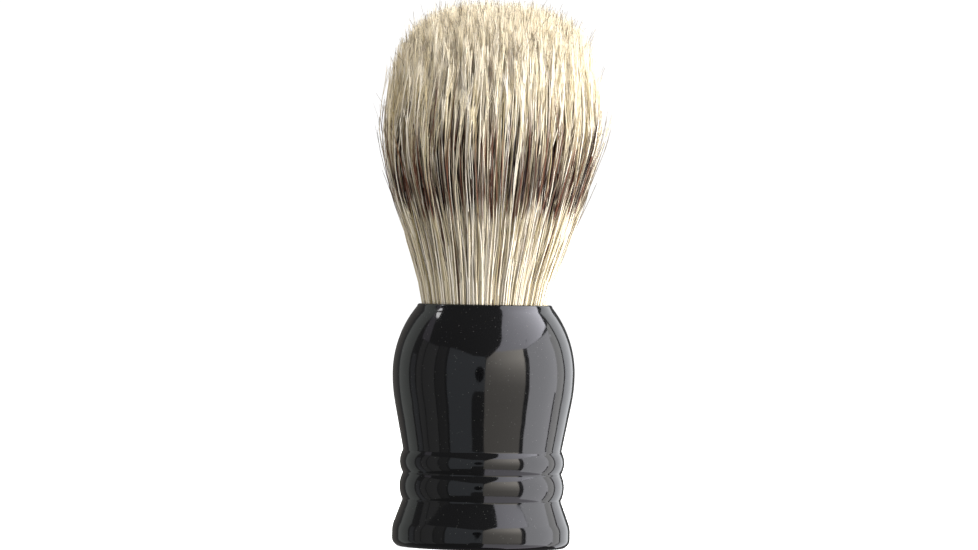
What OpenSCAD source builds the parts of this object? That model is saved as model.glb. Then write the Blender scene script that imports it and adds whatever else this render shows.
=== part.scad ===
// Shaving brush: a moulded handle with a turned outline, standing on its foot, and a
// bristle knot glued into the socket in its top.
// Millimetres. The foot stands on z = 0, +Z runs up the handle's axis to the bristle tips.

/* [Handle] */
// Height of the handle, from the foot's face to the rim
handle_h = 47; // [42:0.5:60]
// Diameter of the foot at its widest
foot_d = 34.5; // [29:0.5:42]
// Height of the foot, up to the first groove
foot_h = 9.1; // [7:0.1:12]
// Fillet around the foot's lower edge
foot_fillet = 1.7; // [0.5:0.1:2.2]
// Radius of the foot's rounded shoulder
foot_round = 5; // [3:0.5:6]
// Diameter over the two beads
bead_d = 31.9; // [31:0.1:39]
// Height of the lower bead
lower_bead_h = 5.2; // [4:0.1:6.5]
// Height of the upper bead
upper_bead_h = 4.4; // [3.5:0.1:6]
// Diameter in the grooves beside the beads, and at the neck
groove_d = 30.7; // [30:0.1:31]
// Diameter of the bulb at its widest
bulb_d = 35.3; // [31:0.1:44]
// Depth of the bulb's widest section below the rim
bulb_drop = 13.4; // [11:0.1:17]
// Radius of the bulb's lower side
bulb_round = 30; // [25:1:36]
// Radius of the rounding on the rim's outer edge
rim_round = 0.55; // [0.2:0.05:0.7]
// Wall of the handle at the socket's mouth
rim_wall = 0.75; // [0.72:0.01:1.2]
// Thinnest wall of the handle, in the grooves
handle_wall = 2.35; // [1.8:0.05:3]

/* [Socket and knot setting] */
// Depth of the socket below the rim
socket_depth = 14; // [12:0.5:17]
// Thickness of the web under the socket
socket_floor = 2.5; // [1.5:0.1:4]
// Space around the bristles in the socket's mouth
mouth_clear = 0.3; // [0.2:0.05:0.5]
// Thickness of the adhesive between socket and knot cup
glue_t = 0.25; // [0.1:0.05:0.5]
// Height of the knot cup
cup_h = 10; // [8.5:0.5:11.5]
// Wall and floor of the knot cup
cup_wall = 0.7; // [0.4:0.1:0.8]
// Distance of the resin's top face below the cup's mouth
resin_drop = 1; // [0.5:0.1:1.8]
// Thickness of the resin under the bristle butts
resin_floor = 1.5; // [1:0.1:2.5]
// Thickness of the resin around the bristle butts
resin_skin = 1; // [0.9:0.05:1.3]
// Diameter of the binding thread
thread_d = 0.5; // [0.4:0.05:0.6]
// Turns of the binding thread
thread_turns = 5; // [2:1:6]

/* [Base] */
// Depth that the base cap is sunk above the foot's face
cap_recess = 0.4; // [0.2:0.1:1]
// Thickness of the base cap's disc
cap_t = 1.8; // [1.2:0.1:2.6]
// Width of the ledge that the base cap seats against
cap_ledge = 0.6; // [0.4:0.1:0.9]
// Height of the base cap's skirt above its disc
skirt_h = 4; // [3:0.5:6]
// Wall of the base cap's skirt
skirt_wall = 1.2; // [0.8:0.1:1.6]
// Clearance around the base cap
cap_clear = 0.05; // [0.02:0.01:0.1]
// Clearance of the weight in the skirt
weight_clear = 0.2; // [0.1:0.05:0.4]
// Height of the ballast weight
weight_h = 10; // [8:0.5:13]
// Thickness of the glue pad under the weight
pad_t = 0.5; // [0.3:0.1:1]

/* [Bristles] */
// Diameter of the knot where it leaves the handle
knot_d = 24.2; // [20:0.1:29.5]
// Length of the bristles above the rim
loft = 58; // [48:1:70]
// Diameter of the bloom at its widest
bloom_d = 43.6; // [36:0.1:52.5]
// Height of the bloom's widest section above the rim
bloom_h = 37; // [30.5:0.5:40]
// Roundness of the flare's start, where 1 leaves the rim at once
flare_power = 1.27; // [1:0.01:1.5]
// Squareness of the dome, where 2 is an ellipse
dome_power = 2.8; // [2:0.1:3.2]

/* [Flexing] */
// Height above the rim of the hinge where the bristles bend sideways
side_hinge_h = 8; // [6:0.5:9]
// Height above the rim of the hinge where the bristles bend forwards and back
front_hinge_h = 24; // [22:0.5:26]
// Height above the rim where the roots' dome reaches the outside
roots_edge_h = 14; // [12.5:0.5:16]
// Height above the rim where the shafts' dome reaches the outside
shafts_edge_h = 31; // [29:0.5:33]
// Step in height between one bristle length and the next
seam_h = 0.45; // [0.3:0.05:0.7]

/* [Hidden] */
$fn = 96;

// how far a cut runs past the face it opens
past = 1;
// angle between the points on round stretches of the outlines
arc_step = 6;
// height between the points on the bristles' outline
loft_step = 2.5;
// sides of the binding thread and steps in each of its turns
thread_sides = 8;
thread_steps = 36;
// pitch of the thread's turns, and its running space beside the butts
thread_pitch = 1.15 * thread_d;
thread_clear = 0.04;

// handle outline
foot_r = foot_d / 2;
groove_r = groove_d / 2;
bead_r = bead_d / 2;
bulb_r = bulb_d / 2;
foot_round_z = foot_h / 3;
lower_bead_z = foot_h;
upper_bead_z = lower_bead_z + lower_bead_h;
neck_z = upper_bead_z + upper_bead_h;
bulb_z = handle_h - bulb_drop;

// socket and knot setting
knot_r = knot_d / 2;
socket_r = knot_r + mouth_clear;
rim_r = socket_r + rim_wall;
socket_z = handle_h - socket_depth;
cup_r = socket_r - glue_t;
cup_z = socket_z + glue_t;
cup_top_z = cup_z + cup_h;
resin_r = cup_r - cup_wall;
resin_z = cup_z + cup_wall;
resin_top_z = cup_top_z - resin_drop;
butt_r = resin_r - resin_skin;
butt_z = resin_z + resin_floor;
thread_r = butt_r + thread_clear + thread_d / 2;
thread_pocket_r = thread_r + thread_d / 2 + thread_clear;
thread_run_h = thread_turns * thread_pitch + thread_d + 2 * thread_clear;
thread_run_z = (butt_z + resin_top_z - thread_run_h) / 2;

// base
cavity_r = groove_r - handle_wall;
cavity_top_z = socket_z - socket_floor;
cap_z = cap_recess;
cap_seat_z = cap_z + cap_t;
cap_bore_r = cavity_r + cap_ledge;
skirt_r = cavity_r - cap_clear;
skirt_bore_r = skirt_r - skirt_wall;
weight_r = skirt_bore_r - weight_clear;
weight_z = cap_seat_z + pad_t;

// points on an arc about [cx, cz], from angle a0 to a1, both ends included
function arc_points(cx, cz, r, a0, a1) =
  let (steps = max(2, ceil(abs(a1 - a0) / arc_step)))
  [for (i = [0 : steps]) let (a = a0 + (a1 - a0) * i / steps) [cx + r * cos(a), cz + r * sin(a)]];

// a round that stands upright at [crown_r, crown_z], and where it turns off towards the point
// [r, z] on a straight tangent: side is 1 for a point above the crown and -1 for one below it
function tangent_angle(crown_r, crown_z, radius, r, z, side) =
  let (dx = r - (crown_r - radius), dz = z - crown_z)
  atan2(dz, dx) - side * acos(radius / norm([dx, dz]));

// a bead's half-round outline between two heights in the grooves
function bead_points(z0, z1) =
  let (half = (z1 - z0) / 2, rise = bead_r - groove_r)
  let (radius = (half * half + rise * rise) / (2 * rise))
  let (reach = asin(half / radius))
  arc_points(bead_r - radius, z0 + half, radius, -reach, reach);

// the shoulder, from the bulb's widest section in to the rim
function shoulder_points() =
  let (rise = handle_h - rim_round - bulb_z, inset = bulb_r - rim_r)
  let (radius = (rise * rise + inset * inset) / (2 * inset))
  arc_points(bulb_r - radius, bulb_z, radius, 0, asin(rise / radius));

// outline of the handle, from the axis out along the foot and up to the rim
function handle_outline() =
  let (foot_turn = tangent_angle(foot_r, foot_round_z, foot_round, groove_r, lower_bead_z, 1))
  let (bulb_turn = tangent_angle(bulb_r, bulb_z, bulb_round, groove_r, neck_z, -1))
  concat(
    [[0, 0]],
    arc_points(foot_r - foot_fillet, foot_fillet, foot_fillet, -90, 0),
    arc_points(foot_r - foot_round, foot_round_z, foot_round, 0, foot_turn),
    bead_points(lower_bead_z, upper_bead_z),
    [for (p = bead_points(upper_bead_z, neck_z)) if (p[1] > upper_bead_z) p],
    arc_points(bulb_r - bulb_round, bulb_z, bulb_round, bulb_turn, 0),
    [for (p = shoulder_points()) if (p[1] > bulb_z) p],
    [for (p = arc_points(rim_r - rim_round, handle_h - rim_round, rim_round, 0, 90))
      if (p[1] > handle_h - rim_round) p],
    [[0, handle_h]]
  );

// radius of the bristle bundle at height h above the rim: a flare, then a dome
function bundle_r(h) = h <= bloom_h
  ? knot_r + (bloom_d / 2 - knot_r) * pow(sin(90 * h / bloom_h), flare_power)
  : bloom_d / 2 * pow(max(0, 1 - pow((h - bloom_h) / (loft - bloom_h), dome_power)), 1 / dome_power);

// outline of the bundle between two heights above the rim
function bundle_points(h0, h1) =
  let (steps = ceil((h1 - h0) / loft_step))
  [for (i = [0 : steps]) let (h = h0 + (h1 - h0) * i / steps) [bundle_r(h), handle_h + h]];

// outline of the bundle from height h0 up to the top of the dome, with the points drawn together
// towards the top, where the dome is nearly flat
function crown_points(h0) =
  [for (a = [0 : arc_step : 90]) let (h = h0 + (loft - h0) * sin(a)) [bundle_r(h), handle_h + h]];

// the dome that divides the bundle is centred on a hinge, so it can turn without binding: its
// points, from the outside at edge_h in to the axis
function seam_points(hinge_h, edge_h) =
  let (r = bundle_r(edge_h), rise = edge_h - hinge_h)
  arc_points(0, handle_h + hinge_h, norm([r, rise]), atan2(rise, r), 90);

function reversed(points) = [for (i = [len(points) - 1 : -1 : 0]) points[i]];

// one moulding: turned outside, socket above, cavity below with a counterbore for the base cap
module handle_shell() {
  color([0.06, 0.06, 0.065])
  difference() {
    rotate_extrude() polygon(handle_outline());
    translate([0, 0, socket_z]) cylinder(h = socket_depth + past, r = socket_r);
    translate([0, 0, -past]) cylinder(h = cavity_top_z + past, r = cavity_r);
    translate([0, 0, -past]) cylinder(h = cap_seat_z + past, r = cap_bore_r);
  }
}

// push-in cap: a disc in the counterbore and a skirt that grips the cavity
module base_cap() {
  color([0.1, 0.1, 0.1])
  difference() {
    union() {
      translate([0, 0, cap_z]) cylinder(h = cap_t, r = cap_bore_r - cap_clear);
      translate([0, 0, cap_z]) cylinder(h = cap_t + skirt_h, r = skirt_r);
    }
    translate([0, 0, cap_seat_z]) cylinder(h = skirt_h + past, r = skirt_bore_r);
  }
}

// set pad of glue that holds the weight on the cap
module weight_glue() {
  color([0.85, 0.8, 0.65])
  translate([0, 0, cap_seat_z]) cylinder(h = pad_t, r = weight_r);
}

// plain steel slug that stands in the cap's skirt
module ballast_weight() {
  color([0.55, 0.56, 0.58])
  translate([0, 0, weight_z]) cylinder(h = weight_h, r = weight_r);
}

// set adhesive between the socket and the knot cup, on the floor and up the wall
module socket_adhesive() {
  color([0.75, 0.66, 0.4])
  difference() {
    translate([0, 0, socket_z]) cylinder(h = cup_h + glue_t, r = socket_r);
    translate([0, 0, cup_z]) cylinder(h = cup_h + past, r = cup_r);
  }
}

// thin drawn cup that holds the bristle butts
module knot_cup() {
  color([0.72, 0.72, 0.74])
  difference() {
    translate([0, 0, cup_z]) cylinder(h = cup_h, r = cup_r);
    translate([0, 0, resin_z]) cylinder(h = cup_h + past, r = resin_r);
  }
}

// resin cast around the butts, with the pocket that the binding thread leaves in it
module resin_plug() {
  color([0.6, 0.4, 0.16])
  difference() {
    translate([0, 0, resin_z]) cylinder(h = resin_top_z - resin_z, r = resin_r);
    translate([0, 0, butt_z]) cylinder(h = resin_top_z - butt_z + past, r = butt_r);
    translate([0, 0, thread_run_z]) cylinder(h = thread_run_h, r = thread_pocket_r);
  }
}

// thread wound in a close coil around the butts
module binding_thread() {
  steps = thread_turns * thread_steps;
  rise = thread_turns * thread_pitch;
  start_z = thread_run_z + (thread_run_h - rise) / 2;
  points = [for (i = [0 : steps], j = [0 : thread_sides - 1])
    let (turn = 360 * i / thread_steps, a = 360 * j / thread_sides)
    let (r = thread_r + thread_d / 2 * cos(a), z = start_z + rise * i / steps + thread_d / 2 * sin(a))
    [r * cos(turn), r * sin(turn), z]];
  walls = [for (i = [0 : steps - 1], j = [0 : thread_sides - 1])
    let (a = i * thread_sides, b = a + thread_sides, k = (j + 1) % thread_sides)
    [a + j, a + k, b + k, b + j]];
  first_end = [for (j = [thread_sides - 1 : -1 : 0]) j];
  last_end = [for (j = [0 : thread_sides - 1]) steps * thread_sides + j];
  color([0.9, 0.88, 0.8])
  polyhedron(points, concat(walls, [first_end], [last_end]));
}

// lower length of the bristles, from the butts in the resin to the dome over the side hinge
module bristle_roots() {
  color([0.85, 0.8, 0.66])
  rotate_extrude() polygon(concat(
    [[0, butt_z], [butt_r, butt_z], [butt_r, resin_top_z]],
    bundle_points(0, roots_edge_h),
    [for (p = seam_points(side_hinge_h, roots_edge_h)) if (p[1] > handle_h + roots_edge_h) p]
  ));
}

// middle length, with the dyed band: it sits over the roots' dome
module bristle_shafts() {
  low_h = roots_edge_h + seam_h;
  color([0.33, 0.22, 0.17])
  rotate_extrude() polygon(concat(
    reversed(seam_points(side_hinge_h, low_h)),
    [for (p = bundle_points(low_h, shafts_edge_h)) if (p[1] > handle_h + low_h) p],
    [for (p = seam_points(front_hinge_h, shafts_edge_h)) if (p[1] > handle_h + shafts_edge_h) p]
  ));
}

// upper length with the flagged tips: it sits over the shafts' dome and ends in the bloom's crown
module bristle_tips() {
  low_h = shafts_edge_h + seam_h;
  color([0.9, 0.86, 0.74])
  rotate_extrude() polygon(concat(
    reversed(seam_points(front_hinge_h, low_h)),
    [for (p = crown_points(low_h)) if (p[1] > handle_h + low_h) p]
  ));
}

handle_shell();
base_cap();
weight_glue();
ballast_weight();
socket_adhesive();
knot_cup();
resin_plug();
binding_thread();
bristle_roots();
bristle_shafts();
bristle_tips();
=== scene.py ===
import math
import bmesh
import bpy
import numpy as np
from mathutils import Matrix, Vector


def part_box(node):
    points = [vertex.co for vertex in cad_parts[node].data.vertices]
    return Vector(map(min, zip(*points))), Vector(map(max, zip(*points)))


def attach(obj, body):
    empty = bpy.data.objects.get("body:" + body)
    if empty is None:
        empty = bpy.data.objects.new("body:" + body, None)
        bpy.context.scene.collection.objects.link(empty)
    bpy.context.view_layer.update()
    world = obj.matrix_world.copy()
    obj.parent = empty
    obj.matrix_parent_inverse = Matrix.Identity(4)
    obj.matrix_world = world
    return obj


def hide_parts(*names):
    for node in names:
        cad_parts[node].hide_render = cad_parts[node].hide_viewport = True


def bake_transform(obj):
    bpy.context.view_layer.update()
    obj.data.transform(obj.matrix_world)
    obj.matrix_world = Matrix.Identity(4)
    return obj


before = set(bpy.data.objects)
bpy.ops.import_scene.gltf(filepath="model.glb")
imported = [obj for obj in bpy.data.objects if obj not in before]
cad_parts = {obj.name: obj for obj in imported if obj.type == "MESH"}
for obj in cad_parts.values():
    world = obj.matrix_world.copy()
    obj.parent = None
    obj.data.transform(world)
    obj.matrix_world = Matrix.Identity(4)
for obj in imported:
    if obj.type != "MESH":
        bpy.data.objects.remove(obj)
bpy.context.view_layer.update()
MM = 0.001

# ---------------------------------------------------------------- Handle moulding
# One hollow, round moulding in black ABS, polished to a high gloss. Its foot, two beads, neck,
# bulb and rim are one outline, and the knot's socket and the ballast's cavity open at its two
# ends.
handle_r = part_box("handle_shell")[1].x / MM
handle_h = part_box("handle_shell")[1].z / MM
foot_r = 17.25
foot_h = 9.1
foot_fillet = 1.7
foot_round = 5.0
bead_r = 15.95
lower_bead_h = 5.2
upper_bead_h = 4.4
groove_r = 15.35
groove_fillet = 0.35
bulb_drop = 13.4
bulb_z = handle_h - bulb_drop
bulb_round = 30.0
rim_r = 13.15
rim_round = 0.55
socket_r = 12.4
mouth_fillet = 0.12
socket_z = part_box("socket_adhesive")[0].z / MM
socket_floor = 2.5
cavity_r = 13.0
cavity_top_z = socket_z - socket_floor
cap_bore_r = 13.6
cap_seat_z = 2.2
lathe_steps = 144
arc_step = 3.0
merge_dist = 1e-7


def arc(cx, cz, radius, a0, a1):
    """Points of an arc in the lathe's plane, both ends included, as (radius, height)."""
    count = max(3, math.ceil(abs(a1 - a0) / arc_step))
    turns = [math.radians(a0 + (a1 - a0) * i / count) for i in range(count + 1)]
    return [(cx + radius * math.cos(t), cz + radius * math.sin(t)) for t in turns]


def turn_off(crown_r, crown_z, radius, r, z, side):
    """Angle at which a round that stands upright at its crown leaves on a tangent towards (r, z)."""
    dx, dz = r - (crown_r - radius), z - crown_z
    return math.degrees(math.atan2(dz, dx) - side * math.acos(radius / math.hypot(dx, dz)))


def bead(z0, z1):
    """A bead's outline between two grooves."""
    half, rise = (z1 - z0) / 2, bead_r - groove_r
    radius = (half * half + rise * rise) / (2 * rise)
    reach = math.degrees(math.asin(half / radius))
    return arc(bead_r - radius, z0 + half, radius, -reach, reach)


def link(name, bm, smooth_under=35.0):
    """Makes an object from a bmesh, shaded smooth except over sharp edges, and links it."""
    bmesh.ops.remove_doubles(bm, verts=bm.verts, dist=merge_dist)
    bmesh.ops.recalc_face_normals(bm, faces=bm.faces)
    for face in bm.faces:
        face.smooth = True
    for edge in bm.edges:
        if len(edge.link_faces) == 2 and edge.calc_face_angle() > math.radians(smooth_under):
            edge.smooth = False
    mesh = bpy.data.meshes.new(name)
    bm.to_mesh(mesh)
    bm.free()
    piece = bpy.data.objects.new(name, mesh)
    bpy.context.scene.collection.objects.link(piece)
    return piece


def lathe(profile):
    """Spins an outline of (radius, height) in millimetres into a closed bmesh."""
    bm = bmesh.new()
    verts = [bm.verts.new((r * MM, 0, z * MM)) for r, z in profile]
    edges = [bm.edges.new(pair) for pair in zip(verts, verts[1:])]
    bmesh.ops.spin(bm, geom=verts + edges, cent=(0, 0, 0), axis=(0, 0, 1),
                   angle=math.tau, steps=lathe_steps, use_merge=True)
    bmesh.ops.remove_doubles(bm, verts=bm.verts, dist=merge_dist)
    return bm


def round_off(bm, corners, size, segments=4, near=0.01):
    """Bevels the edge loops that pass through the given (radius, height) corners."""
    def on_corner(vert):
        r, z = math.hypot(vert.co.x, vert.co.y) / MM, vert.co.z / MM
        return any(math.hypot(r - cr, z - cz) < near for cr, cz in corners)
    edges = [e for e in bm.edges if all(on_corner(v) for v in e.verts)]
    bmesh.ops.bevel(bm, geom=edges, offset=size * MM, offset_type="OFFSET", segments=segments,
                    profile=0.5, affect="EDGES", material=-1, clamp_overlap=True)


lower_bead_z = foot_h
upper_bead_z = lower_bead_z + lower_bead_h
neck_z = upper_bead_z + upper_bead_h
foot_round_z = foot_h / 3
shoulder_rise = handle_h - rim_round - bulb_z
shoulder_in = handle_r - rim_r
shoulder_round = (shoulder_rise ** 2 + shoulder_in ** 2) / (2 * shoulder_in)
shoulder_turn = math.degrees(math.asin(shoulder_rise / shoulder_round))
outline = [(0, cavity_top_z), (cavity_r, cavity_top_z), (cavity_r, cap_seat_z),
           (cap_bore_r, cap_seat_z), (cap_bore_r, 0)]
outline += arc(foot_r - foot_fillet, foot_fillet, foot_fillet, -90, 0)
outline += arc(foot_r - foot_round, foot_round_z, foot_round, 0,
               turn_off(foot_r, foot_round_z, foot_round, groove_r, lower_bead_z, 1))
outline += bead(lower_bead_z, upper_bead_z)
outline += bead(upper_bead_z, neck_z)[1:]
outline += arc(handle_r - bulb_round, bulb_z, bulb_round,
               turn_off(handle_r, bulb_z, bulb_round, groove_r, neck_z, -1), 0)
outline += arc(handle_r - shoulder_round, bulb_z, shoulder_round, 0, shoulder_turn)[1:]
outline += arc(rim_r - rim_round, handle_h - rim_round, rim_round, shoulder_turn, 90)[1:]
outline += [(socket_r, handle_h), (socket_r, socket_z), (0, socket_z)]
turned = lathe(outline)
round_off(turned, [(groove_r, z) for z in (lower_bead_z, upper_bead_z, neck_z)], groove_fillet)
round_off(turned, [(socket_r, handle_h)], mouth_fillet, 3)
handle = link("handle_moulding", turned)


def linear(hex_colour):
    """An sRGB hex colour as linear RGBA."""
    parts = [int(hex_colour[i:i + 2], 16) / 255 for i in (1, 3, 5)]
    return tuple(c / 12.92 if c <= 0.04045 else ((c + 0.055) / 1.055) ** 2.4 for c in parts) + (1,)


def add(tree, kind, sockets=(), stops=(), **settings):
    """Adds a shader node: settings are its own properties, sockets take a value or an output of
    another node, and stops are the places and colours of a ramp."""
    node = tree.nodes.new(kind)
    for name, value in settings.items():
        setattr(node, name, value)
    for socket, value in dict(sockets).items():
        if isinstance(value, bpy.types.NodeSocket):
            tree.links.new(value, node.inputs[socket])
        else:
            node.inputs[socket].default_value = value
    for number, (position, colour) in enumerate(stops):
        elements = node.color_ramp.elements
        stop = elements[number] if number < 2 else elements.new(position)
        stop.position, stop.color = position, colour
    return node


def new_material(name, **values):
    """A material with a Principled shader, with the values set on its own sockets."""
    material = bpy.data.materials.new(name)
    material.use_nodes = True
    shader = material.node_tree.nodes["Principled BSDF"]
    for key, value in values.items():
        shader.inputs[key.replace("_", " ")].default_value = value
    return material, material.node_tree, shader


def plug(tree, shader, **outputs):
    """Links patterns to the shader's own sockets."""
    for key, output in outputs.items():
        tree.links.new(output, shader.inputs[key.replace("_", " ")])


# Polished ABS, moulded in black: a deep gloss with a faint ripple from the mould, fine hairlines
# from handling, and specks of dust that catch the light.
ripple_mm = 6.0
hairline_mm = 0.25
hairline_stretch = 0.06
dust_mm = 0.9
gloss_black, tree, shader = new_material("polished_black_abs", IOR=1.5)
coords = add(tree, "ShaderNodeTexCoord").outputs["Object"]
ripple = add(tree, "ShaderNodeTexNoise", {"Vector": coords, "Scale": 1000 / ripple_mm, "Detail": 1.0})
stretch = add(tree, "ShaderNodeMapping", {"Vector": coords, "Scale": (1, 1, hairline_stretch)})
hairline = add(tree, "ShaderNodeTexNoise", {"Vector": stretch.outputs[0], "Scale": 1000 / hairline_mm})
speck = add(tree, "ShaderNodeTexVoronoi", {"Vector": coords, "Scale": 1000 / dust_mm})
dust = add(tree, "ShaderNodeValToRGB", {"Fac": speck.outputs["Distance"]},
           [(0.0, linear("#4a4a48")), (0.13, linear("#0c0c0d")), (1.0, linear("#0c0c0d"))])
haze = add(tree, "ShaderNodeValToRGB", {"Fac": hairline.outputs["Fac"]},
           [(0.35, (0.05, 0.05, 0.05, 1)), (0.75, (0.12, 0.12, 0.12, 1))])
bump = add(tree, "ShaderNodeBump", {"Height": ripple.outputs["Fac"], "Strength": 0.12,
                                    "Distance": 0.0004})
plug(tree, shader, Base_Color=dust.outputs["Color"], Roughness=haze.outputs["Color"],
     Normal=bump.outputs["Normal"])
handle.data.materials.append(gloss_black)
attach(handle, "handle")
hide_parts("handle_shell")

# ---------------------------------------------------------------- Base cap
# The push-in cap that closes the handle from below: a disc with a rounded edge and a skirt,
# moulded in matt black ABS, with the small round mark of its moulding gate in the middle.
cap_gap = 0.05
cap_r = cap_bore_r - cap_gap
cap_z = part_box("base_cap")[0].z / MM
cap_top_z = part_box("base_cap")[1].z / MM
cap_fillet = 0.25
skirt_r = cavity_r - cap_gap
skirt_wall = 1.2
skirt_bore_r = skirt_r - skirt_wall
skirt_fillet = 0.3
gate_r = 1.6
gate_depth = 0.3
cap_outline = [(0, cap_z + gate_depth), (gate_r, cap_z + gate_depth), (gate_r, cap_z),
               (cap_r, cap_z), (cap_r, cap_seat_z), (skirt_r, cap_seat_z), (skirt_r, cap_top_z),
               (skirt_bore_r, cap_top_z), (skirt_bore_r, cap_seat_z), (0, cap_seat_z)]
turned = lathe(cap_outline)
round_off(turned, [(cap_r, cap_z), (gate_r, cap_z)], cap_fillet, 3)
round_off(turned, [(skirt_r, cap_top_z), (skirt_bore_r, cap_top_z)], skirt_fillet, 3)
cap = link("base_cap_moulding", turned)
# Spark-eroded mould texture: a fine, even grain that breaks up the light.
grain_mm = 0.3
matt_black, tree, shader = new_material("spark_textured_abs", IOR=1.5, Roughness=0.5)
coords = add(tree, "ShaderNodeTexCoord").outputs["Object"]
grain = add(tree, "ShaderNodeTexNoise", {"Vector": coords, "Scale": 1000 / grain_mm, "Detail": 3.0})
tone = add(tree, "ShaderNodeValToRGB", {"Fac": grain.outputs["Fac"]},
           [(0.3, linear("#161617")), (0.7, linear("#232324"))])
bump = add(tree, "ShaderNodeBump", {"Height": grain.outputs["Fac"], "Strength": 0.4,
                                    "Distance": 0.0001})
plug(tree, shader, Base_Color=tone.outputs["Color"], Normal=bump.outputs["Normal"])
cap.data.materials.append(matt_black)
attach(cap, "handle")
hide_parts("base_cap")

# ---------------------------------------------------------------- Ballast weight and its glue
# A slug sawn from round steel bar, with the fine straight lines of the saw, stands in the cap's
# skirt. A pad of cloudy hot-melt glue under it keeps it from rattling.
steel, tree, shader = new_material("sawn_steel", Metallic=1.0, Roughness=0.38)
saw_mm = 0.4
coords = add(tree, "ShaderNodeTexCoord").outputs["Object"]
saw_lines = add(tree, "ShaderNodeMapping", {"Vector": coords, "Scale": (0.05, 1, 1)})
marks = add(tree, "ShaderNodeTexNoise", {"Vector": saw_lines.outputs[0], "Scale": 1000 / saw_mm})
tone = add(tree, "ShaderNodeValToRGB", {"Fac": marks.outputs["Fac"]},
           [(0.3, linear("#8a8b8e")), (0.7, linear("#b4b5b8"))])
bump = add(tree, "ShaderNodeBump", {"Height": marks.outputs["Fac"], "Strength": 0.3,
                                    "Distance": 0.00005})
plug(tree, shader, Base_Color=tone.outputs["Color"], Normal=bump.outputs["Normal"])


def wear(node_name, material):
    """Gives a CAD node its material."""
    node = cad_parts[node_name]
    node.data.materials.clear()
    node.data.materials.append(material)


def cast_material(name, light, dark, roughness, cloud_mm):
    """A set glue or resin: a smooth skin over a slightly cloudy colour."""
    material, tree, shader = new_material(name, Roughness=roughness, IOR=1.5)
    coords = add(tree, "ShaderNodeTexCoord").outputs["Object"]
    cloud = add(tree, "ShaderNodeTexNoise", {"Vector": coords, "Scale": 1000 / cloud_mm, "Detail": 2.0})
    tone = add(tree, "ShaderNodeValToRGB", {"Fac": cloud.outputs["Fac"]},
               [(0.3, linear(dark)), (0.7, linear(light))])
    bump = add(tree, "ShaderNodeBump", {"Height": cloud.outputs["Fac"], "Strength": 0.2,
                                        "Distance": 0.0002})
    plug(tree, shader, Base_Color=tone.outputs["Color"], Normal=bump.outputs["Normal"])
    return material


wear("ballast_weight", steel)
wear("weight_glue", cast_material("hot_melt_glue", "#e6dcc0", "#d3c49d", 0.4, 5.0))

# ---------------------------------------------------------------- Knot setting
# The bristle butts are bound with waxed thread, stood in a drawn aluminium cup and set in epoxy.
# The cup is then glued into the handle's socket with a second, thin layer of epoxy.
satin_aluminium, tree, shader = new_material("drawn_aluminium", Metallic=1.0, Roughness=0.3)
draw_mm = 0.2
coords = add(tree, "ShaderNodeTexCoord").outputs["Object"]
draw_lines = add(tree, "ShaderNodeMapping", {"Vector": coords, "Scale": (1, 1, 0.05)})
marks = add(tree, "ShaderNodeTexNoise", {"Vector": draw_lines.outputs[0], "Scale": 1000 / draw_mm})
tone = add(tree, "ShaderNodeValToRGB", {"Fac": marks.outputs["Fac"]},
           [(0.3, linear("#c4c5c8")), (0.7, linear("#dcdde0"))])
plug(tree, shader, Base_Color=tone.outputs["Color"])
wear("knot_cup", satin_aluminium)
wear("socket_adhesive", cast_material("thin_epoxy", "#c9b479", "#b39a5b", 0.3, 4.0))
wear("resin_plug", cast_material("cast_epoxy", "#b5812f", "#8d5c1c", 0.2, 6.0))
# Waxed cotton: two plies whose twist shows as fine slanting lines.
twist_mm = 0.35
cotton, tree, shader = new_material("waxed_cotton", Roughness=0.7)
coords = add(tree, "ShaderNodeTexCoord").outputs["Object"]
plies = add(tree, "ShaderNodeTexWave", {"Vector": coords, "Scale": 1000 / twist_mm / math.tau,
                                        "Distortion": 1.0}, bands_direction="DIAGONAL")
tone = add(tree, "ShaderNodeValToRGB", {"Fac": plies.outputs["Fac"]},
           [(0.2, linear("#c9c0a6")), (0.8, linear("#eee8d6"))])
bump = add(tree, "ShaderNodeBump", {"Height": plies.outputs["Fac"], "Strength": 0.5,
                                    "Distance": 0.00005})
plug(tree, shader, Base_Color=tone.outputs["Color"], Normal=bump.outputs["Normal"])
wear("binding_thread", cotton)

# ---------------------------------------------------------------- Bristles
# The knot: eight thousand boar bristles, each a tapered shaft about a quarter of a millimetre
# thick that splits at its end into a few fine flags. They leave the rim tightly packed, flare
# into a bloom, draw together into locks on the way, and end on a dome. A few strays stand off it.
rng = np.random.default_rng(42)
bristle_count = 8000
lock_count = 1300
stray_count = 130
outer_layer = 0.9
knot_r = 12.1
bloom_r = 21.2
bloom_h = 37.0
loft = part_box("bristle_tips")[1].z / MM - handle_h
flare_power = 1.33
dome_power = 3.2
dome_drop = 2.0
curl_in = 0.10
curl_from, curl_full = 31, 51
butt_gap = 0.15
butt_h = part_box("bristle_roots")[0].z / MM - handle_h + butt_gap
butt_r = 10.3
resin_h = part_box("resin_plug")[1].z / MM - handle_h
split_h = 16.0
shaft_r = 0.115


def smooth_step(low, high, x):
    """Rises from 0 at low to 1 at high, level at both ends."""
    t = np.clip((x - low) / (high - low), 0, 1)
    return t * t * (3 - 2 * t)


def bundle_radius(h):
    """Radius of the whole bundle at height h above the rim, and inside the socket below it."""
    above = np.sin(np.pi / 2 * np.clip(h / bloom_h, 0, 1)) ** flare_power
    below = butt_r + (knot_r - butt_r) * np.clip((h - resin_h) / -resin_h, 0, 1)
    curl = 1 - curl_in * smooth_step(curl_from, curl_full, h)
    return np.where(h < 0, below, (knot_r + (bloom_r - knot_r) * above) * curl)


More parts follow.
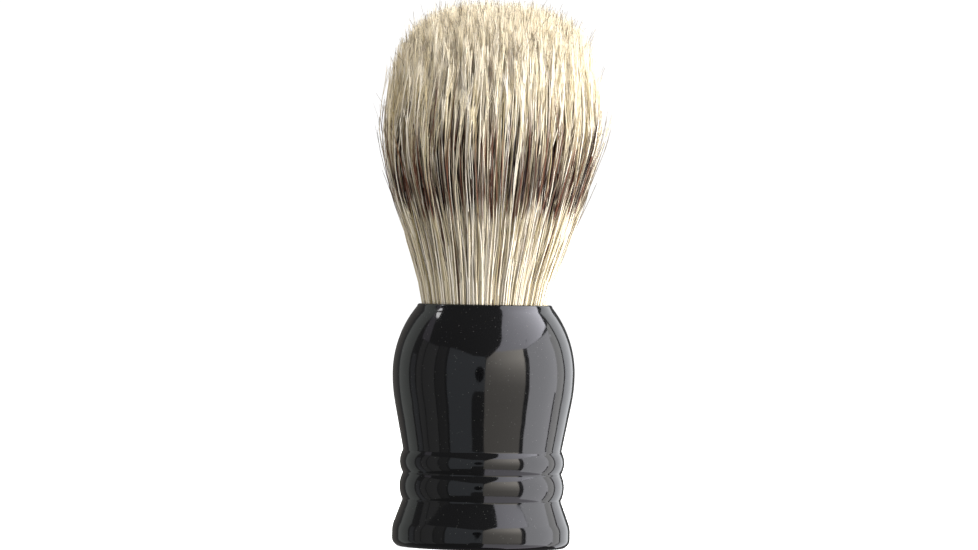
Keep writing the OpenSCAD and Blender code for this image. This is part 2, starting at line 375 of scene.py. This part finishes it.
# where each bristle stands in the bundle, as a point in a unit disc, and the lock it leans to
lock_scatter = 0.014
spread = np.sort(np.sqrt(rng.random(bristle_count)))
turn = rng.random(bristle_count) * math.tau
outward = np.stack([np.cos(turn), np.sin(turn)], 1)
place = spread[:, None] * outward
lock_r = np.sqrt((np.arange(lock_count) + 0.5) / lock_count)
lock_turn = np.arange(lock_count) * math.pi * (3 - math.sqrt(5))
locks = np.stack([lock_r * np.cos(lock_turn), lock_r * np.sin(lock_turn)], 1)
locks += rng.normal(0, lock_scatter, locks.shape)
lock_of = np.argmin(((place[:, None, :] - locks[None, :, :]) ** 2).sum(2), axis=1)

# how high each one ends: on the dome, ragged, and more so towards the dome's edge
tip_scatter, edge_scatter = 0.8, 2.2
tip_lowest, tip_highest = bloom_h - 6, loft + 0.7
dome_edge = 0.9995
dome = (1 - np.minimum(spread, dome_edge) ** dome_power) ** (1 / dome_power)
tip_h = bloom_h + (loft - bloom_h) * dome - dome_drop
tip_h += (rng.normal(0, tip_scatter, bristle_count)
          + rng.normal(0, edge_scatter, bristle_count) * smooth_step(outer_layer, 1, spread))
tip_h = np.clip(tip_h, tip_lowest, tip_highest)

# how each one grows: its girth, its bow outwards, the waves of its lock and its own, and its lean
girths = 0.75, 1.2
bow_mean, bow_scatter = -0.1, 0.3
lock_wave, own_wave = 0.38, 0.16
lock_wavelength, own_wavelength = 6.5, 3.6
lean_scatter, most_lean = 0.75, 1.7
wild_share, wild_lean = 0.1, 2.6
pulls = 0.4, 0.85
root_scatter = 0.04
girth = rng.uniform(*girths, bristle_count)
bow = rng.normal(bow_mean, bow_scatter, bristle_count)
lock_sway = rng.normal(0, lock_wave, (lock_count, 2))
lock_phase = rng.random((lock_count, 2)) * math.tau
own_sway = rng.normal(0, own_wave, (bristle_count, 2))
own_phase = rng.random((bristle_count, 2)) * math.tau
own_lean = rng.normal(0, lean_scatter, (bristle_count, 2))
own_lean *= np.where(rng.random(bristle_count) < wild_share, wild_lean, 1)[:, None]
own_lean = np.clip(own_lean, -most_lean, most_lean)
pull = rng.uniform(*pulls, bristle_count)
root_shift = rng.normal(0, root_scatter, (bristle_count, 2))

# the strays: short, thin bristles out of the outermost twelfth, which bow away from the rest
stray_tips = 20, 40
stray_bows = 0.4, 2.0
stray_lean = 0.4
stray_girth = 0.6
stray = bristle_count - 1 - rng.permutation(bristle_count // 12)[:stray_count]
tip_h[stray] = rng.uniform(*stray_tips, stray_count)
bow[stray] = rng.uniform(*stray_bows, stray_count)
own_lean[stray] *= stray_lean
girth[stray] = stray_girth

# how their paths run: the heights over which the butts even out, the bristles draw in to their
# locks and the waves set in, and the shares of their length over which they let go again; then
# the knot's slight lean to the right, in its neck and in its bloom
even_full = 20
lock_from, lock_full = 11, 28
free_from, free_full, freed = 0.66, 0.95, 0.85
wave_full = 30
neck_lean, neck_full = 0.35, 14
bloom_lean, bloom_from, bloom_full = 1.0, 24, 46
lean_power, bow_power = 2.2, 2.4


def path(h, which):
    """Centres of the chosen bristles in millimetres, as an array of bristle, ring and axis, at
    heights h above the rim."""
    lock = lock_of[which]
    grown = np.clip(h / tip_h[which, None], 0, 1.1)
    draw = pull[which, None] * smooth_step(lock_from, lock_full, h)
    draw *= 1 - freed * smooth_step(free_from, free_full, grown)
    disc = place[which, None] + draw[..., None] * (locks[lock] - place[which])[:, None]
    disc += (1 - smooth_step(0, even_full, h))[..., None] * root_shift[which, None]
    disc /= np.maximum(np.linalg.norm(disc, axis=2, keepdims=True), 1)
    xy = disc * bundle_radius(h)[..., None]
    xy[..., 0] += (neck_lean * smooth_step(0, neck_full, h)
                   + bloom_lean * smooth_step(bloom_from, bloom_full, h))
    sway = lock_sway[lock, None] * np.sin(h[..., None] / lock_wavelength + lock_phase[lock, None])
    sway += own_sway[which, None] * np.sin(h[..., None] / own_wavelength + own_phase[which, None])
    xy += smooth_step(0, wave_full, h)[..., None] * sway
    xy += (grown ** lean_power)[..., None] * own_lean[which, None]
    xy += (bow[which, None] * grown ** bow_power)[..., None] * outward[which, None]
    return np.concatenate([xy, (handle_h + h)[..., None]], 2)


def bristle_template(rings):
    """One bristle made with operators: a three-sided shaft with a ring at every whole height."""
    bm = bmesh.new()
    bmesh.ops.create_circle(bm, segments=3, radius=1.0, cap_ends=True)
    top = list(bm.faces)
    for level in range(1, rings):
        made = bmesh.ops.extrude_face_region(bm, geom=top)["geom"]
        if level > 1:
            bmesh.ops.delete(bm, geom=top, context="FACES_ONLY")
        top = [part for part in made if isinstance(part, bmesh.types.BMFace)]
        bmesh.ops.translate(bm, vec=(0, 0, 1), verts=[v for face in top for v in face.verts])
    bmesh.ops.recalc_face_normals(bm, faces=bm.faces)
    bm.verts.index_update()
    points = np.array([v.co for v in bm.verts])
    faces = [[v.index for v in face.verts] for face in bm.faces]
    bm.free()
    return points, faces


# the dye map, which also carries painted shade: a column of the map for each tint, with the inner
# columns painted darker, the last one for strays and split ends, and the height on the bristle up the
# map
tint_columns = 128
inner_columns = 64
uv_low_h, uv_span_h = -12.0, 72.0
tint = rng.integers(0, inner_columns - 1, bristle_count) + inner_columns * (spread > outer_layer)
# painted shade: the strays take the last column, a shaded grey-brown
tint[stray] = tint_columns - 1


def bristle_piece(name, centres, radii, tints, heights):
    """Repeats the template along the centres, all in one mesh, with its map of dye and painted shade.
    """
    count, rings = radii.shape
    points, faces = bristle_template(rings)
    ring = np.rint(points[:, 2]).astype(int)
    along = np.gradient(centres, axis=1)
    along /= np.linalg.norm(along, axis=2, keepdims=True)
    side = np.array([1.0, 0, 0]) - along * along[:, :, :1]
    side /= np.linalg.norm(side, axis=2, keepdims=True)
    across = np.cross(along, side)
    co = centres[:, ring] + radii[:, ring, None] * (points[:, 0, None] * side[:, ring]
                                                    + points[:, 1, None] * across[:, ring])
    corners = np.array([v for face in faces for v in face])
    sizes = np.tile([len(face) for face in faces], count)
    loops = (np.arange(count)[:, None] * len(points) + corners).ravel()
    mesh = bpy.data.meshes.new(name)
    mesh.vertices.add(count * len(points))
    mesh.vertices.foreach_set("co", (co * MM).astype(np.float32).ravel())
    mesh.loops.add(len(loops))
    mesh.loops.foreach_set("vertex_index", loops.astype(np.int32))
    mesh.polygons.add(len(sizes))
    mesh.polygons.foreach_set("loop_start", (np.cumsum(sizes) - sizes).astype(np.int32))
    mesh.polygons.foreach_set("use_smooth", np.ones(len(sizes), bool))
    mesh.update(calc_edges=True)
    # the flat cut ends keep sharp rims, so the shading runs on unbroken from piece to piece
    ends = np.empty(2 * len(mesh.edges), np.int32)
    mesh.edges.foreach_get("vertices", ends)
    low, high = ring[ends % len(points)].reshape(-1, 2).T
    mesh.edges.foreach_set("use_edge_sharp", (low == high) & ((low == 0) | (low == rings - 1)))
    # on the map, the three corners of a bristle stand side by side inside its column
    turns = np.degrees(np.arctan2(points[:, 1], points[:, 0])) % 360
    corner = np.rint(turns / 120).astype(int) % 3
    u = (tints[:, None] + 0.25 + 0.25 * corner) / tint_columns
    v = (heights[:, ring] - uv_low_h) / uv_span_h
    layer = mesh.uv_layers.new(name="OFBake")
    layer.data.foreach_set("uv", np.stack([u[:, corners], v[:, corners]], 2).astype(np.float32).ravel())
    piece = bpy.data.objects.new(name, mesh)
    bpy.context.scene.collection.objects.link(piece)
    return piece


# Boar bristle, bleached to straw and cream, with a band dyed dark brown: satin, no two bristles quite
# the same colour, and worn paler towards the tips. The band's edges are ragged, it has run down a few
# bristles towards the rim, and the dye missed some of the outer ones. On the inner bristles the band is
# painted higher, fuller and darker, partly as painted shade for the shadowed depths between the locks,
# and the strays and split ends are painted a dull grey-brown as painted shade.
band_low, band_low_spread, band_low_fade = 14.5, 5.5, 2.0
band_high, band_high_spread, band_high_fade = 25.0, 19.0, 8.0
run_over, run_drop = 0.955, 12.0
# partly painted shade: on the inner bristles the band reaches higher, so the shadowed depths of the
# knot read dark
inner_reach_and_shade = 0.8
soak_gain, soak_missed = 6.0, 0.95
# painted shade: how much darker the dyed colour is painted on the inner bristles, deep in the knot
inner_painted_shade = 0.7
worn_from, worn_span, worn_most = 38.0, 16.0, 0.6
second_noise = 500.0
boar, tree, shader = new_material("boar_bristle_dye_and_painted_shade", Roughness=0.4, IOR=1.5)
uv_map = add(tree, "ShaderNodeUVMap", uv_map="OFBake").outputs["UV"]
split = add(tree, "ShaderNodeSeparateXYZ", {"Vector": uv_map})
math_node = "ShaderNodeMath"
columns = add(tree, math_node, {0: split.outputs["X"], 1: float(tint_columns)}, operation="MULTIPLY")
column = add(tree, math_node, {0: columns.outputs[0]}, operation="FLOOR").outputs[0]
height = add(tree, math_node, {0: split.outputs["Y"], 1: uv_span_h, 2: uv_low_h},
             operation="MULTIPLY_ADD").outputs[0]
inner = add(tree, math_node, {0: column, 1: inner_columns - 0.5}, operation="LESS_THAN").outputs[0]
first = add(tree, "ShaderNodeTexWhiteNoise", {"W": column}, noise_dimensions="1D")
first = add(tree, "ShaderNodeSeparateXYZ", {"Vector": first.outputs["Color"]})
other = add(tree, math_node, {0: column, 1: second_noise}, operation="ADD").outputs[0]
second = add(tree, "ShaderNodeTexWhiteNoise", {"W": other}, noise_dimensions="1D")
second = add(tree, "ShaderNodeSeparateXYZ", {"Vector": second.outputs["Color"]})
# the band's lower edge on each bristle, and its runs
ragged = add(tree, math_node, {0: first.outputs["X"], 1: band_low_spread, 2: band_low},
             operation="MULTIPLY_ADD")
run = add(tree, math_node, {0: second.outputs["Z"], 1: run_over}, operation="GREATER_THAN")
low_edge = add(tree, math_node, {0: run.outputs[0], 1: -run_drop, 2: ragged.outputs[0]},
               operation="MULTIPLY_ADD")
low_rise = add(tree, math_node, {0: height, 1: low_edge.outputs[0]}, operation="SUBTRACT")
low_fade = add(tree, math_node, {0: low_rise.outputs[0], 1: band_low_fade}, operation="DIVIDE",
               use_clamp=True)
# its upper edge, which is high on the inner bristles, partly as painted shade for the shadowed depths
# of the knot
deep = add(tree, math_node, {0: inner, 1: inner_reach_and_shade}, operation="MULTIPLY")
reach = add(tree, math_node, {0: first.outputs["Y"], 1: deep.outputs[0]}, operation="MAXIMUM")
high_edge = add(tree, math_node, {0: reach.outputs[0], 1: band_high_spread, 2: band_high},
                operation="MULTIPLY_ADD")
high_rise = add(tree, math_node, {0: high_edge.outputs[0], 1: height}, operation="SUBTRACT")
high_fade = add(tree, math_node, {0: high_rise.outputs[0], 1: band_high_fade}, operation="DIVIDE",
                use_clamp=True)
# how much dye each bristle took up; the inner bristles take more of it, partly as painted shade for the
# depths of the knot
soak = add(tree, math_node, {0: first.outputs["Z"], 1: soak_gain, 2: inner}, operation="MULTIPLY_ADD")
strength = add(tree, math_node, {0: soak.outputs[0], 1: soak_missed}, operation="SUBTRACT",
               use_clamp=True)
window = add(tree, math_node, {0: low_fade.outputs[0], 1: high_fade.outputs[0]}, operation="MULTIPLY")
band = add(tree, math_node, {0: window.outputs[0], 1: strength.outputs[0]}, operation="MULTIPLY")
# the undyed colour, brown all along on a few bristles and paler where the tips are worn, and the dyed
# colour, with painted shade that darkens it on the inner bristles, where the depths of the knot lie in
# shadow
natural = add(tree, "ShaderNodeValToRGB", {"Fac": second.outputs["X"]},
              [(0.0, linear("#a2926c")), (0.25, linear("#d8caa8")), (0.6, linear("#eee3cb")),
               (0.93, linear("#f9f1e3")), (0.945, linear("#4f3324"))])
worn = add(tree, math_node, {0: height, 1: worn_from}, operation="SUBTRACT")
worn = add(tree, math_node, {0: worn.outputs[0], 1: worn_span}, operation="DIVIDE", use_clamp=True)
worn = add(tree, math_node, {0: worn.outputs[0], 1: worn_most}, operation="MULTIPLY")
pale = add(tree, "ShaderNodeMix", {0: worn.outputs[0], 6: natural.outputs["Color"],
                                   7: linear("#ece0c6")}, data_type="RGBA")
# painted shade: the dyed colour darkened on the inner bristles
shade = add(tree, math_node, {0: inner, 1: -inner_painted_shade, 2: 1.0}, operation="MULTIPLY_ADD")
depth = add(tree, math_node, {0: second.outputs["Y"], 1: shade.outputs[0]}, operation="MULTIPLY")
dyed = add(tree, "ShaderNodeValToRGB", {"Fac": depth.outputs[0]},
           [(0.0, linear("#170b07")), (0.35, linear("#371d15")), (1.0, linear("#80533c"))])
colour = add(tree, "ShaderNodeMix", {0: band.outputs[0], 6: pale.outputs[2],
                                     7: dyed.outputs["Color"]}, data_type="RGBA")
# painted shade: strays and split ends are given a dull grey-brown so that these thin hairs read as
# shaded against the white
painted_shade_hairs = add(tree, math_node, {0: column, 1: tint_columns - 1.5}, operation="GREATER_THAN").outputs[0]
colour = add(tree, "ShaderNodeMix", {0: painted_shade_hairs, 6: colour.outputs[2], 7: linear("#7d705c")},
             data_type="RGBA")
plug(tree, shader, Base_Color=colour.outputs[2])


def lay(piece, bodies, low_h, high_h, slot, node):
    """Finishes a piece of the knot: its material, its baked transform and its hidden node. The bodies,
    the two heights and the slot are not used.
    """
    piece.data.materials.append(boar)
    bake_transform(piece)
    if node:
        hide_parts(node)


# each part of the knot is two meshes, one for the inner bristles and one for the outer ones
side_bend = ("handle", "shafts"), 0.0, split_h
front_bend = ("shafts", "tips"), split_h, 2 * split_h
root_rings = np.array([butt_h, resin_h, 0.0, 4.0, 8.0, 12.0, split_h])
shaft_rings = np.array([0, 0.13, 0.27, 0.42, 0.6, 0.8, 1.0])
shaft_taper = np.array([1, 1, 0.98, 0.94, 0.88, 0.76, 0.45])
for number, chosen in enumerate(np.array_split(np.arange(bristle_count), 2), 1):
    heights = np.tile(root_rings, (len(chosen), 1))
    radii = shaft_r * girth[chosen, None] * np.ones_like(heights)
    centres = path(heights, chosen)
    piece = bristle_piece(f"bristle_roots_{number}", centres, radii, tint[chosen], heights)
    lay(piece, *side_bend, "bristle_natural", "bristle_roots" if number == 1 else None)
    heights = split_h + (tip_h[chosen, None] - split_h) * shaft_rings
    radii = shaft_r * girth[chosen, None] * shaft_taper
    centres = path(heights, chosen)
    piece = bristle_piece(f"bristle_shafts_{number}", centres, radii, tint[chosen], heights)
    lay(piece, *front_bend, "bristle_dyed", "bristle_shafts" if number == 1 else None)

# The flags: each tip splits into four fine ends that spread a little. A few grow longer.
flag_count = 4
flag_taper = np.array([0.06, 0.05, 0.025])
flag_lengths = 3.0, 7.0
flag_end = 1.3
long_share, long_by = 0.06, 1.3
flag_fan, stray_fan, halfway_fan = 0.42, 0.15, 0.4
for number, chosen in enumerate(np.array_split(np.arange(bristle_count), 3), 1):
    chosen = np.repeat(chosen, flag_count)
    low = tip_h[chosen] - rng.uniform(*flag_lengths, len(chosen))
    high = tip_h[chosen] + rng.uniform(-flag_end, flag_end, len(chosen))
    high += (rng.random(len(chosen)) < long_share) * long_by
    heights = np.stack([low, (low + high) / 2, high], 1)
    centres = path(heights, chosen)
    fan = rng.normal(0, flag_fan, (len(chosen), 2))
    fan *= np.where(np.isin(chosen, stray), stray_fan, 1)[:, None]
    centres[:, 1, :2] += fan * halfway_fan
    centres[:, 2, :2] += fan
    radii = girth[chosen, None] * flag_taper
    piece = bristle_piece(f"bristle_flags_{number}", centres, radii, tint[chosen], heights)
    lay(piece, *front_bend, "bristle_natural", "bristle_tips" if number == 1 else None)

# Split ends, finer and longer than the rest, stand out of the dome as a thin fuzz.
split_count = 1500
split_taper = np.array([0.05, 0.045, 0.03])
split_root = 2.0
split_ends = 0.8, 2.8
split_fan, split_outward, halfway_fan = 0.6, 0.5, 0.3
chosen = rng.integers(0, bristle_count, split_count)
low = tip_h[chosen] - split_root
high = tip_h[chosen] + rng.uniform(*split_ends, split_count)
heights = np.stack([low, (low + high) / 2, high], 1)
centres = path(heights, chosen)
fan = rng.normal(0, split_fan, (split_count, 2)) + split_outward * place[chosen]
centres[:, 1, :2] += fan * halfway_fan
centres[:, 2, :2] += fan
piece = bristle_piece("bristle_split_ends", centres, girth[chosen, None] * split_taper,
                      np.full(split_count, tint_columns - 1), heights)
lay(piece, *front_bend, "bristle_natural", None)

# ---------------------------------------------------------------- Studio
# A pale floor, a white surround and soft panels round the brush: the key light is on the right,
# and dimmer panels fill in from the other sides. The polished handle mirrors a set of cards.
floor_half = 4.0
floor_glow = 0.86
ambient_glow, mirrored_glow, seen_glow = 0.44, 0.12, 1.05
aim = Vector((0, 0, 0.04))
scene = bpy.context.scene
bm = bmesh.new()
bmesh.ops.create_grid(bm, x_segments=1, y_segments=1, size=floor_half)
floor = link("floor", bm)
paper, tree, shader = new_material("pale_paper", Roughness=0.9, Base_Color=linear("#f2f2f0"),
                                   Emission_Color=linear("#ffffff"), Emission_Strength=floor_glow)
floor.data.materials.append(paper)
floor.visible_glossy = False
floor.visible_diffuse = False

world = bpy.data.worlds.new("studio")
scene.world = world
world.use_nodes = True
tree = world.node_tree
tree.nodes.clear()
white = linear("#ffffff")
rays = add(tree, "ShaderNodeLightPath")
ambient = add(tree, "ShaderNodeBackground", {"Color": white, "Strength": ambient_glow})
mirrored = add(tree, "ShaderNodeBackground", {"Color": white, "Strength": mirrored_glow})
seen = add(tree, "ShaderNodeBackground", {"Color": white, "Strength": seen_glow})
reflected = add(tree, "ShaderNodeMixShader", {0: rays.outputs["Is Glossy Ray"],
                                              1: ambient.outputs[0], 2: mirrored.outputs[0]})
shown = add(tree, "ShaderNodeMixShader", {0: rays.outputs["Is Camera Ray"],
                                          1: reflected.outputs[0], 2: seen.outputs[0]})
add(tree, "ShaderNodeOutputWorld", {"Surface": shown.outputs[0]})
scene.view_settings.view_transform = "Standard"


def towards(azimuth, elevation):
    """Unit vector away from the brush: azimuth counts to the right from the camera's side, and
    elevation up from level, both in degrees."""
    a, e = math.radians(azimuth), math.radians(elevation)
    return Vector((math.sin(a) * math.cos(e), -math.cos(a) * math.cos(e), math.sin(e)))


def panel(name, azimuths, elevations, brightness, distance=0.7):
    """A soft panel that lights the brush from these angles, and is not mirrored by the handle."""
    away = towards(sum(azimuths) / 2, sum(elevations) / 2)
    half_turn = math.radians(azimuths[1] - azimuths[0]) / 2
    half_rise = math.radians(elevations[1] - elevations[0]) / 2
    width = 2 * distance * math.hypot(away.x, away.y) * math.tan(half_turn)
    height = 2 * distance * math.tan(half_rise)
    light = bpy.data.lights.new(name, "AREA")
    light.shape, light.size, light.size_y = "RECTANGLE", width, height
    light.energy = brightness * math.pi * width * height
    lamp = bpy.data.objects.new(name, light)
    lamp.location = aim + away * distance
    lamp.rotation_euler = away.to_track_quat("Z", "Y").to_euler()
    lamp.visible_camera = lamp.visible_glossy = False
    scene.collection.objects.link(lamp)


panel("key_right", (60, 121), (-16, 40), 3.5)
panel("key_broad", (32, 118), (-20, 60), 2.4, 0.8)
panel("key_upper", (31, 112), (24, 75), 4.3)
panel("fill_front", (-10, 54), (-27, 30), 1.7)
panel("fill_back_right", (124, 153), (-20, 50), 2.4)
panel("fill_back_left", (-162, -92), (-22, 66), 3.0)

# the cards glow only in mirror reflections, by the colour and strength stored at their corners
glow, tree, shader = new_material("card_glow")
stored = add(tree, "ShaderNodeAttribute", attribute_name="glow")
shine = add(tree, "ShaderNodeEmission", {"Color": stored.outputs["Color"]})
tree.links.new(shine.outputs[0], tree.nodes["Material Output"].inputs["Surface"])
glow.cycles.emission_sampling = "NONE"
card_columns = 8


def card(name, rows, colour="#ffffff", distance=0.7):
    """A card from rows of (elevation, left azimuth, right azimuth, left glow, right glow)."""
    bm = bmesh.new()
    bmesh.ops.create_grid(bm, x_segments=card_columns, y_segments=len(rows) - 1, size=0.5)
    stored_glow = bm.verts.layers.float_color.new("glow")
    tone = Vector(linear(colour)[:3])
    for vert in bm.verts:
        elevation, left, right, left_glow, right_glow = rows[round((vert.co.y + 0.5) * (len(rows) - 1))]
        across = vert.co.x + 0.5
        strength = left_glow + (right_glow - left_glow) * across
        vert[stored_glow] = (*(tone * strength), 1)
        vert.co = aim + distance * towards(left + (right - left) * across, elevation)
    mesh = bpy.data.meshes.new(name)
    bm.to_mesh(mesh)
    bm.free()
    mesh.materials.append(glow)
    prop = bpy.data.objects.new(name, mesh)
    scene.collection.objects.link(prop)
    prop.visible_camera = prop.visible_diffuse = prop.visible_shadow = prop.visible_transmission = False


# in front, a dim card on the left with a small black one, shaped as a lens, before it, and a
# brighter card on the right
card("card_front_left", [(-27, -47, -15.6, 0.56, 0.56), (-20, -47, -15.6, 0.56, 0.56),
                         (-15.5, -47, -13.8, 0.56, 0.56), (-13, -47, -10.5, 0.56, 0.56)], "#eef6ff")
card("card_front", [(-13, -47, 2, 0.56, 0.56), (18, -47, 2, 0.56, 0.58), (18.3, -47, -13, 0.56, 0.56),
                    (25, -47, -44, 0.5, 0.5)], "#eef6ff")
card("card_lens", [(-7, -7, -3, 0, 0), (-4, -10, 0, 0, 0), (0, -11, 1, 0, 0), (4, -10, 0, 0, 0),
                   (7, -7, -3, 0, 0)], distance=0.5)
card("card_front_right", [(-27, 2, 54, 1.05, 1.15), (-9, 2, 54, 1.1, 1.5), (4, 2, 54, 1.3, 2.9),
                          (15, 3, 54, 1.6, 4.8), (24, 14, 54, 2.6, 4.8)], "#fdf6ec")
# above, on the right and round the side
card("card_upper_right", [(24, 14, 58, 3.0, 4.0), (29, 21, 62, 3.2, 4.3), (35, 25.6, 66, 3.2, 4.5),
                          (51, 32, 70, 3.3, 4.6), (62, 46, 80, 3.3, 4.5), (71, 64, 90, 3.2, 4.0)],
     "#f6f5ff")
card("card_upper_side", [(24, 58, 59, 4.0, 4.0), (29, 62, 92, 4.3, 6.8), (31, 64, 113, 4.3, 7.5),
                         (41, 67, 123, 4.5, 7.3), (51, 70, 124, 4.6, 6.6), (62, 80, 124, 4.5, 5.6),
                         (71, 90, 120, 4.0, 4.8)], "#f6f5ff")
# the key light, with a dark stand in front of its far edge, and the floor that it lights
card("card_key", [(-38, 60, 106, 3.9, 3.7), (24, 60, 106, 3.9, 3.7)], "#f9f9ff")
card("card_key_top", [(24, 60, 113, 3.9, 3.6), (28.6, 90, 113, 3.7, 3.6)], "#f9f9ff")
card("card_key_side", [(-38, 106, 121, 2.2, 2.2), (24, 106, 121, 2.2, 2.2), (30, 113, 121, 2.2, 2.2)])
card("card_back_right", [(-34, 124, 153, 2.0, 2.0), (45, 124, 153, 2.0, 2.0)], "#f9fbff")
card("card_stand", [(-30, 103, 105.5, 0, 0), (-9.5, 103, 105.5, 0, 0)], distance=0.6)
card("card_floor_right", [(-75, 4, 108, 1.7, 2.0), (-27.5, 4, 108, 1.7, 2.0)], "#f6f2fc")
# dim walls on the left, in folds, with a small bright glint above them
card("card_side_near", [(-35, -63, -50, 0.2, 0.24), (25, -63, -50, 0.2, 0.24)])
card("card_side_fold", [(-35, -83, -64.5, 0.3, 0.4), (24, -83, -64.5, 0.3, 0.36)])
card("card_side_far", [(-35, -94, -84.5, 0.36, 0.3), (24, -94, -84.5, 0.3, 0.3)])
card("card_side_edge", [(-35, -105, -95.5, 0.42, 0.38), (12, -105, -97, 0.3, 0.3)], "#eef2f8")
card("card_side_upper", [(24.3, -98, -83, 0.5, 0.55), (36, -104, -90, 0.5, 0.6),
                         (46, -114, -101, 0.5, 0.5)], "#f2ecfa")
card("card_glint", [(43, -100, -97.5, 8, 8), (44.2, -108, -94.5, 8, 8), (48, -100.5, -98.5, 8, 8)],
     distance=0.6)
# and behind the brush, on the left
card("card_back_left", [(-30, -133, -108, 0.58, 0.56), (55, -133, -108, 0.58, 0.56)], "#f0f6f2")
card("card_far_left", [(-30, -165, -140, 0.17, 0.17), (40, -165, -140, 0.17, 0.17)], "#f6f0ea")

# The camera looks level from a little over a metre away through a long lens, at the middle of the
# brush, and it is rolled by a degree.
camera_distance = 1.1
camera_side, camera_height = 0.0007, 0.0527
camera_roll = -1.0
view_width = 0.1894
film_mm = 36.0
camera = bpy.data.cameras.new("camera")
camera.sensor_width = film_mm
camera.lens = film_mm * camera_distance / view_width
camera.clip_start, camera.clip_end = 0.05, 20.0
eye = bpy.data.objects.new("camera", camera)
eye.location = (camera_side, -camera_distance, camera_height)
eye.rotation_euler = (math.pi / 2, math.radians(camera_roll), 0)
scene.collection.objects.link(eye)
scene.camera = eye
